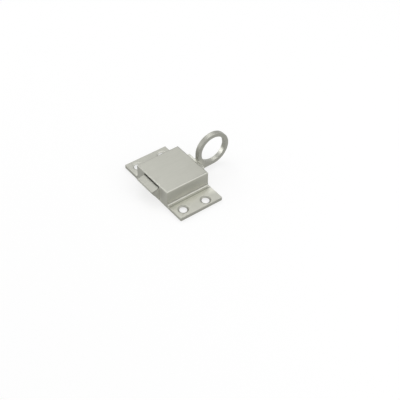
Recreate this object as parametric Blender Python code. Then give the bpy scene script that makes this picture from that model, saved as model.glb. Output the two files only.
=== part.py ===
"""Transom catch: a surface-mounted spring bolt with a cast finger ring.

The catch lies on its back. X runs along the plate from screw flange to screw flange, the bolt's
nose points to -Y, the ring is pulled to +Y, and the back of the plate is at Z = 0.
"""

from math import acos, atan2, cos, hypot, pi, sin, tau

import bmesh
import bpy
from mathutils import Matrix, Vector

MM = 0.001

# Gaps between pieces
FIT = 0.3 * MM  # between pieces that touch or slide on each other
OVERSHOOT = 2.0 * MM  # how far a cutter runs past the faces that it cuts
BITE = 0.8 * MM  # how deep an added form sinks into the piece that carries it

# Bolt, ring and tail, cast in one
BOLT_WIDTH = 15.0 * MM
BOLT_HEIGHT = 8.15 * MM
BOLT_PROJECTION = 5.2 * MM  # nose in front of the case when locked
TAIL_LENGTH = 3.05 * MM  # tail behind the case when locked
NOSE_TIP_RADIUS = 0.6 * MM
RING_OUTER_RADIUS = 11.3 * MM
RING_BAND = 2.55 * MM  # radial width of the ring's band
RING_THICKNESS = 3.1 * MM
RING_OVERLAP = 0.05 * MM  # how far the ring stands over the tail
RING_LIFT = 0.6 * MM  # lowest point of the ring above the bolt's underside
RING_EDGE_RADIUS = 0.3 * MM

# Case and plate, cast in one
PLATE_WIDTH = 29.7 * MM
PLATE_CORNER_RADIUS = 0.3 * MM
FLANGE_LENGTH = 13.5 * MM
FLANGE_THICKNESS = 2.35 * MM
SIDE_ROOM = 5.85 * MM  # inside the case, beside the bolt
HEADROOM = 1.6 * MM  # inside the case, over the bolt
CASE_WALL = 1.7 * MM
CASE_ROOF = 1.15 * MM
CASE_EDGE_RADIUS = 0.9 * MM
CASE_INNER_RADIUS = 1.0 * MM
COVE_RADIUS = 1.4 * MM
RIB_WIDTH = 1.4 * MM
RIB_SPACING = 11.0 * MM

# Screw holes in the flanges, for countersunk wood screws, cored from both faces of the casting.
# Each stands at one end (-1 left, 1 right) and one edge (-1 front, 1 rear), so far in from them.
HOLE_RADIUS = 2.4 * MM
SINK_RADIUS = 3.6 * MM
SINK_DEPTH = 1.15 * MM
BACK_RADIUS = 3.1 * MM
SCREW_HOLES = (
    (-1, -1, 5.25 * MM, 5.75 * MM),
    (-1, 1, 5.25 * MM, 6.05 * MM),
    (1, -1, 5.55 * MM, 5.75 * MM),
    (1, 1, 4.15 * MM, 8.95 * MM),
)

# Back plate, pressed from sheet with one tab bent up
SHEET = 0.8 * MM
SEAT_LEDGE = 0.45 * MM  # width of the step that the back plate bears on
BACK_CORNER_RADIUS = 1.0 * MM
BEND_RADIUS = 0.5 * MM
TAB_WIDTH = 4.4 * MM
TAB_HEIGHT = 5.6 * MM  # above the sheet
TAB_SETBACK = 4.6 * MM  # from the case's rear inner wall to the tab
TAB_RELIEF = 0.2 * MM
TAB_CORNER_RADIUS = 0.6 * MM

# Spring, coiled from round wire, in a pocket under the bolt
WIRE_RADIUS = 0.3 * MM
COIL_RADIUS = 2.2 * MM  # to the middle of the wire
COIL_TURNS = 9.5  # working turns between the closed ends
CLOSED_PITCH = 0.68 * MM
FRONT_METAL = 3.75 * MM  # solid bolt between the case's front inner wall and the pocket

# Screws that hold the back plate
POST_RADIUS = 2.2 * MM
POST_INSET = 2.15 * MM  # from the inner walls to a post's axis
HEAD_RADIUS = 1.5 * MM
HEAD_HEIGHT = 0.7 * MM
SHANK_RADIUS = 0.8 * MM
SHANK_LENGTH = 3.6 * MM
SLOT_WIDTH = 0.4 * MM
SLOT_DEPTH = 0.35 * MM

# Smoothness of round forms
ARC_STEPS = 6
ROUND_STEPS = 40
RING_STEPS = 72
SCREW_STEPS = 24
COIL_STEPS = 16

# Places worked out from the sizes above
BOLT_UNDERSIDE = SHEET + FIT
BOLT_TOP = BOLT_UNDERSIDE + BOLT_HEIGHT
CEILING = BOLT_TOP + HEADROOM
CASE_HEIGHT = CEILING + CASE_ROOF
INNER_HALF_LENGTH = BOLT_WIDTH / 2 + SIDE_ROOM
CASE_HALF_LENGTH = INNER_HALF_LENGTH + CASE_WALL
PLATE_HALF_LENGTH = CASE_HALF_LENGTH + FLANGE_LENGTH
HALF_WIDTH = PLATE_WIDTH / 2
INNER_HALF_WIDTH = HALF_WIDTH - CASE_WALL
TAB_FRONT = INNER_HALF_WIDTH - TAB_SETBACK - SHEET
POCKET_FRONT = FRONT_METAL - INNER_HALF_WIDTH
POCKET_REAR = TAB_FRONT + SHEET + FIT
POCKET_HALF_WIDTH = COIL_RADIUS + WIRE_RADIUS + FIT
POCKET_TOP = max(SHEET + TAB_HEIGHT, SHEET + 2 * (COIL_RADIUS + WIRE_RADIUS + FIT)) + FIT
TAIL_END = HALF_WIDTH + TAIL_LENGTH
POSTS = [
    (side * (INNER_HALF_LENGTH - POST_INSET), end * (INNER_HALF_WIDTH - POST_INSET))
    for side in (-1, 1)
    for end in (-1, 1)
]


def arc(centre, radius, start, end, steps=ARC_STEPS):
    """Points on a circle from one angle to another, in radians, both ends included."""
    angles = [start + (end - start) * step / steps for step in range(steps + 1)]
    return [(centre[0] + radius * cos(a), centre[1] + radius * sin(a)) for a in angles]


def rounded_rectangle(half_x, half_y, radius, steps=ARC_STEPS):
    """Outline of a rectangle with round corners, anticlockwise."""
    points = []
    for index, (side_x, side_y) in enumerate(((1, 1), (-1, 1), (-1, -1), (1, -1))):
        corner = (side_x * (half_x - radius), side_y * (half_y - radius))
        points += arc(corner, radius, index * pi / 2, (index + 1) * pi / 2, steps)
    return points


def material(name, colour, roughness, metallic=1.0):
    """A plain metal finish."""
    finish = bpy.data.materials.new(name)
    finish.use_nodes = True
    shader = finish.node_tree.nodes["Principled BSDF"]
    shader.inputs["Base Color"].default_value = (*colour, 1.0)
    shader.inputs["Roughness"].default_value = roughness
    shader.inputs["Metallic"].default_value = metallic
    return finish


def add_object(name, mesh, finish=None, sharp_angle=pi / 6):
    """Put a mesh in the scene, shaded smooth up to its sharp edges. Without a finish it's a tool."""
    made = bpy.data.objects.new(name, mesh)
    bpy.context.collection.objects.link(made)
    mesh.shade_smooth()
    mesh.set_sharp_from_angle(angle=sharp_angle)
    if finish:
        mesh.materials.append(finish)
    else:
        made.hide_render = True
        made.display_type = "WIRE"
    return made


def prism(outline, low, high, across):
    """Mesh data of a 2-D outline drawn out from low to high. across names the axis it runs along."""
    place = {
        "X": lambda p, depth: (depth, p[0], p[1]),
        "Y": lambda p, depth: (p[0], depth, p[1]),
        "Z": lambda p, depth: (p[0], p[1], depth),
    }[across]
    bm = bmesh.new()
    start = bm.faces.new([bm.verts.new(place(point, low)) for point in outline])
    pushed = bmesh.ops.extrude_face_region(bm, geom=[start])["geom"]
    reach = Vector(place((0, 0), high - low))
    bmesh.ops.translate(bm, vec=reach, verts=[item for item in pushed if isinstance(item, bmesh.types.BMVert)])
    bmesh.ops.recalc_face_normals(bm, faces=bm.faces)
    return bm


def turned(profile, steps):
    """Mesh data of a (radius, height) profile turned about Z. Its first and last radius is 0."""
    bm = bmesh.new()
    rings = [[bm.verts.new((0, 0, profile[0][1]))]]
    for radius, height in profile[1:-1]:
        angles = [tau * step / steps for step in range(steps)]
        rings.append([bm.verts.new((radius * cos(a), radius * sin(a), height)) for a in angles])
    rings.append([bm.verts.new((0, 0, profile[-1][1]))])
    for lower, upper in zip(rings, rings[1:]):
        for step in range(steps):
            after = (step + 1) % steps
            corners = [lower[step % len(lower)], lower[after % len(lower)]]
            corners += [upper[after % len(upper)], upper[step % len(upper)]]
            bm.faces.new(dict.fromkeys(corners))
    bmesh.ops.recalc_face_normals(bm, faces=bm.faces)
    return bm


def to_mesh(bm, name):
    mesh = bpy.data.meshes.new(name)
    bm.to_mesh(mesh)
    bm.free()
    return mesh


def tool(name, bm, location=(0, 0, 0)):
    """A hidden form that a Boolean reads."""
    made = add_object(name, to_mesh(bm, name))
    made.location = location
    return made


def combine(target, operation, operand):
    """Join or cut the target with another form, which stays with it."""
    step = target.modifiers.new(operand.name, "BOOLEAN")
    step.operation = operation
    step.solver = "EXACT"
    step.object = operand
    operand.parent = target


def edges_where(bm, test):
    """Edges whose two ends both pass a test of their position."""
    return [edge for edge in bm.edges if all(test(vert.co) for vert in edge.verts)]


def near(value, target):
    return abs(value - target) < 0.01 * MM


def case_outline():
    """Section through the flanges and the case, in X and Z, anticlockwise from the lower right."""
    wall, crown = CASE_HALF_LENGTH, CASE_HEIGHT
    cove = arc((wall + COVE_RADIUS, FLANGE_THICKNESS + COVE_RADIUS), COVE_RADIUS, 1.5 * pi, pi)
    right = [(PLATE_HALF_LENGTH, 0), (PLATE_HALF_LENGTH, FLANGE_THICKNESS), *cove, (wall, crown)]
    return right + [(-x, z) for x, z in reversed(right)]


def case_block():
    """The casting's outer form: one section drawn out, with the case's top and plate corners rounded."""
    bm = prism(case_outline(), -HALF_WIDTH, HALF_WIDTH, "Y")
    rim = edges_where(bm, lambda co: near(co.z, CASE_HEIGHT))
    bmesh.ops.bevel(bm, geom=rim, offset=CASE_EDGE_RADIUS, segments=ARC_STEPS, profile=0.5, affect="EDGES")
    corners = [
        edge
        for edge in edges_where(bm, lambda co: near(abs(co.x), PLATE_HALF_LENGTH))
        if near(edge.verts[0].co.y, edge.verts[1].co.y)
    ]
    bmesh.ops.bevel(bm, geom=corners, offset=PLATE_CORNER_RADIUS, segments=3, profile=0.5, affect="EDGES")
    return bm


def countersink():
    """Cutter for a flange's screw hole, with its axis on Z and its top at the flange's face."""
    neck = FLANGE_THICKNESS - SINK_DEPTH
    rim = SINK_RADIUS + (SINK_RADIUS - HOLE_RADIUS) / SINK_DEPTH * OVERSHOOT
    back = BACK_RADIUS + (BACK_RADIUS - HOLE_RADIUS) / neck * OVERSHOOT
    top = FLANGE_THICKNESS + OVERSHOOT
    profile = [(0, -OVERSHOOT), (back, -OVERSHOOT), (HOLE_RADIUS, neck), (rim, top), (0, top)]
    return turned(profile, ROUND_STEPS)


def build_case(finish):
    """The cast case: hollow below, a window front and rear for the bolt, and four screw posts."""
    case = add_object("case", to_mesh(case_block(), "case"), finish)

    inside = rounded_rectangle(INNER_HALF_LENGTH, INNER_HALF_WIDTH, CASE_INNER_RADIUS)
    combine(case, "DIFFERENCE", tool("cut_hollow", prism(inside, -OVERSHOOT, CEILING, "Z")))

    half = BOLT_WIDTH / 2 + FIT
    window = [(-half, SHEET), (half, SHEET), (half, CEILING), (-half, CEILING)]
    reach = HALF_WIDTH + OVERSHOOT
    combine(case, "DIFFERENCE", tool("cut_bolt_windows", prism(window, -reach, reach, "Y")))

    rib = [(-RIB_WIDTH / 2, BOLT_TOP + FIT), (RIB_WIDTH / 2, BOLT_TOP + FIT)]
    rib += [(RIB_WIDTH / 2, CEILING + BITE), (-RIB_WIDTH / 2, CEILING + BITE)]
    for index, side in enumerate((-1, 1)):
        drawn = prism(rib, -(INNER_HALF_WIDTH - CASE_WALL), INNER_HALF_WIDTH - CASE_WALL, "Y")
        combine(case, "UNION", tool(f"add_rib_{index}", drawn, (side * RIB_SPACING / 2, 0, 0)))

    post = [(0, 0), (POST_RADIUS, 0), (POST_RADIUS, CEILING + BITE), (0, CEILING + BITE)]
    for index, (x, y) in enumerate(POSTS):
        combine(case, "UNION", tool(f"add_post_{index}", turned(post, SCREW_STEPS), (x, y, 0)))

    seat = rounded_rectangle(
        INNER_HALF_LENGTH + SEAT_LEDGE, INNER_HALF_WIDTH + SEAT_LEDGE, BACK_CORNER_RADIUS + FIT
    )
    combine(case, "DIFFERENCE", tool("cut_plate_seat", prism(seat, -OVERSHOOT, SHEET + FIT, "Z")))

    bore_end = SHEET + SHANK_LENGTH + FIT
    bore_radius = SHANK_RADIUS + FIT
    bore = [(0, -OVERSHOOT), (bore_radius, -OVERSHOOT), (bore_radius, bore_end), (0, bore_end)]
    for index, (x, y) in enumerate(POSTS):
        combine(case, "DIFFERENCE", tool(f"cut_post_bore_{index}", turned(bore, SCREW_STEPS), (x, y, 0)))

    for index, (end, edge, from_end, from_edge) in enumerate(SCREW_HOLES):
        place = (end * (PLATE_HALF_LENGTH - from_end), edge * (HALF_WIDTH - from_edge), 0)
        combine(case, "DIFFERENCE", tool(f"cut_screw_hole_{index}", countersink(), place))
    return case


def bolt_outline():
    """Side view of the bar in Y and Z: flat on top, bevelled under its nose so that it rides in."""
    tip_y = -(HALF_WIDTH + BOLT_PROJECTION)
    centre = (tip_y + NOSE_TIP_RADIUS, BOLT_TOP - NOSE_TIP_RADIUS)
    heel = (-(HALF_WIDTH + FIT), BOLT_UNDERSIDE)
    away = (heel[0] - centre[0], heel[1] - centre[1])
    bevel = atan2(away[1], away[0]) - acos(NOSE_TIP_RADIUS / hypot(*away))
    nose = arc(centre, NOSE_TIP_RADIUS, bevel + tau, pi / 2)
    return [heel, (TAIL_END, BOLT_UNDERSIDE), (TAIL_END, BOLT_TOP), *reversed(nose)]


def ring_outline(centre):
    """Side view of the ring in Y and Z, with the foot that fills the corner down to the tail."""
    foot = (TAIL_END, BOLT_UNDERSIDE + FIT)
    away = (foot[0] - centre[0], foot[1] - centre[1])
    touch = atan2(away[1], away[0]) + acos(RING_OUTER_RADIUS / hypot(*away))
    touch_point = (centre[0] + RING_OUTER_RADIUS * cos(touch), centre[1] + RING_OUTER_RADIUS * sin(touch))
    slope = (touch_point[1] - foot[1]) / (touch_point[0] - foot[0])
    hidden = (foot[0] - BITE, foot[1] - slope * BITE)
    around = arc(centre, RING_OUTER_RADIUS, touch, pi, RING_STEPS)
    return [hidden, *around, (around[-1][0], BOLT_TOP - BITE), (hidden[0], BOLT_TOP - BITE)]


def ring_hole():
    """Cutter for the ring's round hole, flared at both faces to round their edges. Its axis is Z."""
    radius = RING_OUTER_RADIUS - RING_BAND
    half, edge = RING_THICKNESS / 2, RING_EDGE_RADIUS
    upper = arc((radius + edge, half - edge), edge, pi, pi / 2, 3)
    upper += [(radius + edge, half + OVERSHOOT), (0, half + OVERSHOOT)]
    return turned([(r, -h) for r, h in reversed(upper)] + upper, RING_STEPS)


def build_bolt(finish):
    """The sliding bolt with its tail and finger ring. Its origin is where its slide is measured from."""
    half = BOLT_WIDTH / 2
    bolt = add_object("latch_bolt", to_mesh(prism(bolt_outline(), -half, half, "X"), "latch_bolt"), finish)

    centre_y = TAIL_END - RING_OVERLAP + RING_OUTER_RADIUS
    centre = (centre_y, BOLT_UNDERSIDE + RING_LIFT + RING_OUTER_RADIUS)
    band = prism(ring_outline(centre), -RING_THICKNESS / 2, RING_THICKNESS / 2, "X")
    flat = [edge for edge in band.edges if near(edge.verts[0].co.x, edge.verts[1].co.x)]
    bmesh.ops.bevel(band, geom=flat, offset=RING_EDGE_RADIUS, segments=2, profile=0.5, affect="EDGES")
    combine(bolt, "UNION", tool("add_ring", band))

    hole = ring_hole()
    bmesh.ops.transform(hole, matrix=Matrix.Rotation(pi / 2, 4, "Y"), verts=hole.verts)
    combine(bolt, "DIFFERENCE", tool("cut_ring_hole", hole, (0, *centre)))

    pocket = [(-POCKET_HALF_WIDTH, 0), (POCKET_HALF_WIDTH, 0)]
    pocket += [(POCKET_HALF_WIDTH, POCKET_TOP), (-POCKET_HALF_WIDTH, POCKET_TOP)]
    combine(bolt, "DIFFERENCE", tool("cut_spring_pocket", prism(pocket, POCKET_FRONT, POCKET_REAR, "Y")))
    return bolt


def coil_points():
    """Middle line of the spring's wire: closed turns at both ends, an even pitch between them."""
    front = POCKET_FRONT + FIT + WIRE_RADIUS
    rear = TAB_FRONT - FIT - WIRE_RADIUS
    pitch = (rear - front - 2 * CLOSED_PITCH) / COIL_TURNS
    height = SHEET + FIT + COIL_RADIUS + WIRE_RADIUS
    points = []
    steps = round((COIL_TURNS + 2) * COIL_STEPS)
    for step in range(steps + 1):
        turn = step / COIL_STEPS
        closed = min(turn, 1) + max(turn - COIL_TURNS - 1, 0)
        working = min(max(turn - 1, 0), COIL_TURNS)
        along = front + closed * CLOSED_PITCH + working * pitch
        points.append((COIL_RADIUS * sin(tau * turn), along, height + COIL_RADIUS * cos(tau * turn)))
    return points


def build_spring(finish):
    """The compression spring between the bolt's pocket and the back plate's tab."""
    curve = bpy.data.curves.new("bolt_spring", "CURVE")
    curve.dimensions = "3D"
    curve.bevel_depth = WIRE_RADIUS
    curve.bevel_resolution = 2
    curve.use_fill_caps = True
    points = coil_points()
    spline = curve.splines.new("POLY")
    spline.points.add(len(points) - 1)
    for point, place in zip(spline.points, points):
        point.co = (*place, 1)
    curve.materials.append(finish)
    spring = bpy.data.objects.new("bolt_spring", curve)
    bpy.context.collection.objects.link(spring)
    return spring


def tab_outline():
    """Side view of the tab in Y and Z: the sheet bends up from behind it in front of its window."""
    root = TAB_FRONT + SHEET + BEND_RADIUS
    centre = (root, SHEET + BEND_RADIUS)
    top = SHEET + TAB_HEIGHT
    outer = arc(centre, BEND_RADIUS + SHEET, 1.5 * pi, pi)
    inner = arc(centre, BEND_RADIUS, pi, 1.5 * pi)
    tips = [(TAB_FRONT, top), (TAB_FRONT + SHEET, top)]
    return [(root + BITE, 0), *outer, *tips, *inner, (root + BITE, SHEET)]


def build_back_plate(finish):
    """The sheet that closes the case, with the lanced tab that the spring pushes against."""
    half_x = INNER_HALF_LENGTH + SEAT_LEDGE - FIT
    half_y = INNER_HALF_WIDTH + SEAT_LEDGE - FIT
    sheet = prism(rounded_rectangle(half_x, half_y, BACK_CORNER_RADIUS), 0, SHEET, "Z")
    plate = add_object("back_plate", to_mesh(sheet, "back_plate"), finish)

    root = TAB_FRONT + SHEET + BEND_RADIUS
    half_window = TAB_WIDTH / 2 + TAB_RELIEF
    window = [(-half_window, TAB_FRONT - TAB_HEIGHT), (half_window, TAB_FRONT - TAB_HEIGHT)]
    window += [(half_window, root), (-half_window, root)]
    combine(plate, "DIFFERENCE", tool("cut_tab_window", prism(window, -OVERSHOOT, OVERSHOOT, "Z")))

    tab = prism(tab_outline(), -TAB_WIDTH / 2, TAB_WIDTH / 2, "X")
    peak = edges_where(tab, lambda co: near(co.z, SHEET + TAB_HEIGHT))
    ends = [edge for edge in peak if near(edge.verts[0].co.x, edge.verts[1].co.x)]
    bmesh.ops.bevel(tab, geom=ends, offset=TAB_CORNER_RADIUS, segments=3, profile=0.5, affect="EDGES")
    combine(plate, "UNION", tool("add_tab", tab))

    rim = HEAD_RADIUS + FIT
    neck = SHANK_RADIUS + FIT
    slope = (rim - neck) / HEAD_HEIGHT
    sink = [(0, -OVERSHOOT), (rim + slope * OVERSHOOT, -OVERSHOOT), (neck, HEAD_HEIGHT)]
    sink += [(neck, SHEET + OVERSHOOT), (0, SHEET + OVERSHOOT)]
    for index, (x, y) in enumerate(POSTS):
        combine(plate, "DIFFERENCE", tool(f"cut_plate_hole_{index}", turned(sink, SCREW_STEPS), (x, y, 0)))
    return plate


def build_plate_screws(finish):
    """Four small countersunk machine screws with a straight slot, heads flush with the back."""
    tip = SHEET + SHANK_LENGTH
    chamfer = SHANK_RADIUS / 3
    profile = [(0, 0), (HEAD_RADIUS, 0), (SHANK_RADIUS, HEAD_HEIGHT), (SHANK_RADIUS, tip - chamfer)]
    profile += [(SHANK_RADIUS - chamfer, tip), (0, tip)]
    slot = [(-SLOT_WIDTH / 2, -OVERSHOOT), (SLOT_WIDTH / 2, -OVERSHOOT)]
    slot += [(SLOT_WIDTH / 2, SLOT_DEPTH), (-SLOT_WIDTH / 2, SLOT_DEPTH)]
    for index, (x, y) in enumerate(POSTS):
        name = f"plate_screw_{index + 1}"
        screw = add_object(name, to_mesh(turned(profile, SCREW_STEPS), name), finish)
        cut = prism(slot, -HEAD_RADIUS - FIT, HEAD_RADIUS + FIT, "Y")
        combine(screw, "DIFFERENCE", tool(f"cut_slot_{index + 1}", cut))
        screw.location = (x, y, 0)


def main():
    for old in list(bpy.data.objects):
        bpy.data.objects.remove(old)
    nickel = material("satin_nickel", (0.50, 0.49, 0.43), 0.38)
    bolt_nickel = material("bolt_nickel", (0.50, 0.49, 0.43), 0.34)
    sheet_steel = material("sheet_steel", (0.52, 0.53, 0.54), 0.45)
    spring_steel = material("spring_steel", (0.40, 0.40, 0.41), 0.35)
    screw_steel = material("screw_steel", (0.56, 0.56, 0.56), 0.40)
    build_case(nickel)
    build_bolt(bolt_nickel)
    build_spring(spring_steel)
    build_back_plate(sheet_steel)
    build_plate_screws(screw_steel)


main()
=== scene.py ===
"""Looks for the transom catch: satin nickel castings, a coiled spring, a sheet back and screws.

X runs along the plate, the bolt's nose points to -Y, the ring is pulled to +Y, and the catch lies
on its back at Z = 0. Lengths are in metres.
"""

from math import acos, atan2, cos, hypot, pi, radians, sin, tau

import bmesh
import bpy
from bpy.props import FloatProperty, FloatVectorProperty, IntProperty, PointerProperty
from mathutils import Matrix, Vector


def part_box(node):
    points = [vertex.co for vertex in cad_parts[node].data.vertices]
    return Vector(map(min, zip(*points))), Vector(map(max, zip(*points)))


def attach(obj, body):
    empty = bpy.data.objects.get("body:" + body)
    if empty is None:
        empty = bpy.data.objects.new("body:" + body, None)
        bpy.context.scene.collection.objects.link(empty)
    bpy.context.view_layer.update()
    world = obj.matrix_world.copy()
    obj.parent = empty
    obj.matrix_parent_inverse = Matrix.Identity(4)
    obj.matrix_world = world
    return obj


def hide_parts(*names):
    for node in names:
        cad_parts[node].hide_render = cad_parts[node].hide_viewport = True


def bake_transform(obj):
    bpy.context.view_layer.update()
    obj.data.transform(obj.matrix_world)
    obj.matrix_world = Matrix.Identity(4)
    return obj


bl_info = {
    "name": "Transom catch",
    "version": (1, 0, 0),
    "blender": (4, 5, 0),
    "location": "3D View > Sidebar > Catch",
    "description": "Builds the dressed parts of a spring catch for a transom sash",
    "category": "Object",
}

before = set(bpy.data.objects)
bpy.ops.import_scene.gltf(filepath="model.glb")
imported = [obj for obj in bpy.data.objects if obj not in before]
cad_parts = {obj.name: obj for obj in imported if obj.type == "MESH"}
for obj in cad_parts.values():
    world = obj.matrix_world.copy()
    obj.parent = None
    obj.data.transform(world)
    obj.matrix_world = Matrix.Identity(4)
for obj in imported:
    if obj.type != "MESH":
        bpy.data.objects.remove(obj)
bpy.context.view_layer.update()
CASE_LOW, CASE_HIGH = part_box("case")
BOLT_LOW, BOLT_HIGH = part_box("latch_bolt")
SPRING_LOW, SPRING_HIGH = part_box("bolt_spring")
PLATE_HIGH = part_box("back_plate")[1]
SCREW_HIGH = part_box("plate_screw_4")[1]

MM = 0.001
BOLT_BAR_TOP = 9.25 * MM
PLAY = 0.3 * MM  # gap between pieces that move or are put together
PAST = 2 * MM  # how far a cutter runs past the faces that it cuts
SINK = 0.8 * MM  # how deep an added form reaches into its carrier
FINE_ARC = 10
POST_STEPS = 32
HOLE_STEPS = 64
RING_STEPS = 144


# Settings


def size(name, description, default):
    """A length that the user can change."""
    return FloatProperty(
        name=name, description=description, default=default, min=0, precision=5, unit="LENGTH"
    )


def tint(name, description, default):
    """A colour that the user can change."""
    return FloatVectorProperty(
        name=name, description=description, default=default, size=3, min=0, max=1, subtype="COLOR"
    )


def factor(name, description, default, high=1.0):
    """A plain number that the user can change."""
    return FloatProperty(name=name, description=description, default=default, min=0, max=high)


class CaseSizes(bpy.types.PropertyGroup):
    """Sizes of the cast case with its two screw flanges."""

    wall_x: size("Case half length", "From the middle to the case's end wall", 15.05 * MM)
    flange: size("Flange thickness", "Thickness of the screw flanges", 2.35 * MM)
    crown: size("Crown radius", "Rounding of the case's upper edges", 0.9 * MM)
    cove: size("Cove radius", "Hollow rounding where the case meets a flange", 1.4 * MM)
    corner: size("Corner radius", "Rounding of the plate's four corners", 0.3 * MM)
    wall: size("Wall", "Thickness of the side walls", 1.7 * MM)
    roof: size("Roof", "Thickness of the roof", 1.15 * MM)
    play: size("Window play", "Gap beside the bolt in its two windows", 0.03 * MM)
    lintel: size("Window top", "Height of the windows' upper edge over the back", 11.3 * MM)
    bore: size("Screw bore radius", "Narrowest radius of a screw hole", 2.25 * MM)
    sink: size("Countersink radius", "Radius of a countersink at the face", 3.6 * MM)
    depth: size("Countersink depth", "From the face to the narrowest part", 0.85 * MM)
    back: size("Back flare radius", "Radius of a screw hole at the back", 3.9 * MM)
    soft: size("Edge softness", "Width of the worn edges", 0.16 * MM)


class BoltSizes(bpy.types.PropertyGroup):
    """Sizes of the sliding bolt and its finger ring."""

    top: size("Top of the bar", "Height of the bar's flat top over the back", BOLT_BAR_TOP)
    nose: size("Nose radius", "Rounding of the nose's upper edge", 0.6 * MM)
    lift: size("Head lift", "How far the head stands over the bar at the case's wall", 0.85 * MM)
    neck: size("Head end", "From the middle of the case to the head's step", 11.8 * MM)
    tail: size("Tail end", "From the middle of the case to the tail's end", 17.9 * MM)
    lean: size("Ring overlap", "How far the ring stands over the tail", 0.05 * MM)
    ring: size("Ring radius", "Outer radius of the finger ring", 11.3 * MM)
    band: size("Ring band", "Radial width of the ring", 2.55 * MM)
    thick: size("Ring thickness", "Width of the ring across the slide", 3.1 * MM)
    foot: size("Foot height", "Where the foot's lower line meets the tail's end", 0.3 * MM)
    soft: size("Edge softness", "Width of the worn edges", 0.24 * MM)


class InnerSizes(bpy.types.PropertyGroup):
    """Sizes of the spring, the back plate and its screws."""

    wire: size("Wire radius", "Radius of the spring wire", 0.3 * MM)
    closed: size("Closed pitch", "Pitch of the two closed end turns", 0.68 * MM)
    turns: factor("Working turns", "Turns between the closed ends", 9.5, 40)
    sheet: size("Sheet", "Thickness of the back plate", 0.8 * MM)
    tab: size("Tab width", "Width of the tab that holds the spring", 4.4 * MM)
    tab_front: size("Tab place", "From the middle of the case to the tab", 7.75 * MM)
    bend: size("Bend radius", "Inner radius of the tab's bend", 0.5 * MM)
    head: size("Screw head radius", "Radius of a plate screw's head", 1.5 * MM)
    shank: size("Screw shank radius", "Radius of a plate screw's core", 0.8 * MM)
    pitch: size("Thread pitch", "Pitch of a plate screw's thread", 0.5 * MM)
    seed: IntProperty(
        name="Slot seed", description="Sets how far each screw is turned", default=7, min=0
    )


class FinishSettings(bpy.types.PropertyGroup):
    """Colours and grain of the metals, and how much painted light the nickel gets."""

    nickel: tint("Nickel", "Colour of the satin faces", (0.42, 0.42, 0.378))
    # Brighter nickel for worn edges and brush lanes, and also the colour of the painted highlights
    # and painted light on both castings.
    nickel_worn_and_painted_light: tint("Worn nickel", "Colour where edges are rubbed bright", (0.64, 0.64, 0.585))
    # Darker nickel for the cloudy patches, and also the colour of the painted shade: corners,
    # creases, countersinks, far upper edges, the bolt's head and the lower faces near the floor.
    nickel_dull_and_painted_shade: tint("Dull nickel", "Colour of corners that the buff missed", (0.20, 0.20, 0.178))
    # Painted fill light: places closed in by the piece itself, where its own shade falls, are
    # made this much lighter.
    painted_fill_light: factor("Shelter", "How much lighter the plate stays where hands don't reach", 1.75, 3)
    # Painted light on the walls with windows, growing towards +X, where the nose casts shade.
    painted_wall_light: factor("Faced walls", "How much lighter the two walls with windows are", 1.1, 3)
    # Painted light on the right flange's top.
    flange: factor("Flange", "How much lighter the right screw flange is", 1.14, 3)
    # Partly wear from sliding and partly painted light on the bar's top, towards the tail.
    rub_and_painted_light: factor("Bolt rub", "How bright the bolt's bar is rubbed where it slides", 0.75)
    satin: factor("Satin roughness", "Roughness of the buffed faces", 0.46)
    matt: factor("Matt roughness", "Roughness that the upright faces have on top of it", 0.28)
    zinc: tint("Zinc", "Colour of the plated sheet", (0.52, 0.53, 0.54))
    wire: tint("Spring wire", "Colour of the spring wire", (0.33, 0.33, 0.34))


class StageSettings(bpy.types.PropertyGroup):
    """Floor, light and camera."""

    floor: tint("Floor", "Colour of the floor", (0.97, 0.97, 0.97))
    floor_glow: factor("Floor glow", "How far the floor's shadows are lightened", 0.7)
    zenith: factor("Zenith light", "Strength of the light from above", 0.8, 4)
    horizon: factor("Horizon light", "Strength of the light from the side", 0.62, 4)
    screen: factor("Front screen", "How much light a grey screen takes away in front", 0.25)
    side_box: factor("Right softbox", "Strength of the softbox at the right", 1.7, 20)
    left_box: factor("Left softbox", "Strength of the low softbox at the left", 1.5, 20)
    back_box: factor("Back softbox", "Strength of the softbox high at the back", 1.75, 20)
    box_size: size("Right softbox size", "Length of the right softbox's edge", 0.5)
    back_size: size("Other softboxes' size", "Length of the left and back softboxes' edge", 0.4)
    box_range: size("Softbox distance", "From the catch to a softbox", 0.75)
    lens: factor("Focal length", "Camera focal length in millimetres", 76.5, 300)
    eye: FloatVectorProperty(
        name="Camera place",
        description="Where the camera stands",
        default=(0.304316, -0.213992, 0.341434),
        precision=5,
        subtype="TRANSLATION",
    )
    turn: FloatVectorProperty(
        name="Camera turn",
        description="Which way the camera looks",
        default=(radians(46.3474), radians(-0.5271), radians(52.8723)),
        precision=5,
        subtype="EULER",
    )


# Shapes


def arc(centre, radius, start, end, steps=FINE_ARC):
    """Points on a circle from one angle to another, both ends included."""
    angles = [start + (end - start) * step / steps for step in range(steps + 1)]
    return [(centre[0] + radius * cos(a), centre[1] + radius * sin(a)) for a in angles]


def rectangle(low, high):
    """Outline of a rectangle from its lowest to its highest corner, anticlockwise."""
    return [low, (high[0], low[1]), high, (low[0], high[1])]


def rounded_rectangle(half_x, half_y, radius):
    """Outline of a rectangle about the middle with round corners, anticlockwise."""
    points = []
    for quarter, (side_x, side_y) in enumerate(((1, 1), (-1, 1), (-1, -1), (1, -1))):
        corner = (side_x * (half_x - radius), side_y * (half_y - radius))
        points += arc(corner, radius, quarter * pi / 2, (quarter + 1) * pi / 2)
    return points


def prism(outline, low, high, across):
    """Mesh data of an outline drawn out from low to high along the axis called across."""
    place = {
        "X": lambda p, depth: (depth, p[0], p[1]),
        "Y": lambda p, depth: (p[0], depth, p[1]),
        "Z": lambda p, depth: (p[0], p[1], depth),
    }[across]
    bm = bmesh.new()
    face = bm.faces.new([bm.verts.new(place(point, low)) for point in outline])
    drawn = bmesh.ops.extrude_face_region(bm, geom=[face])["geom"]
    moved = [item for item in drawn if isinstance(item, bmesh.types.BMVert)]
    bmesh.ops.translate(bm, vec=place((0, 0), high - low), verts=moved)
    bmesh.ops.recalc_face_normals(bm, faces=bm.faces)
    return bm


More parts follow.
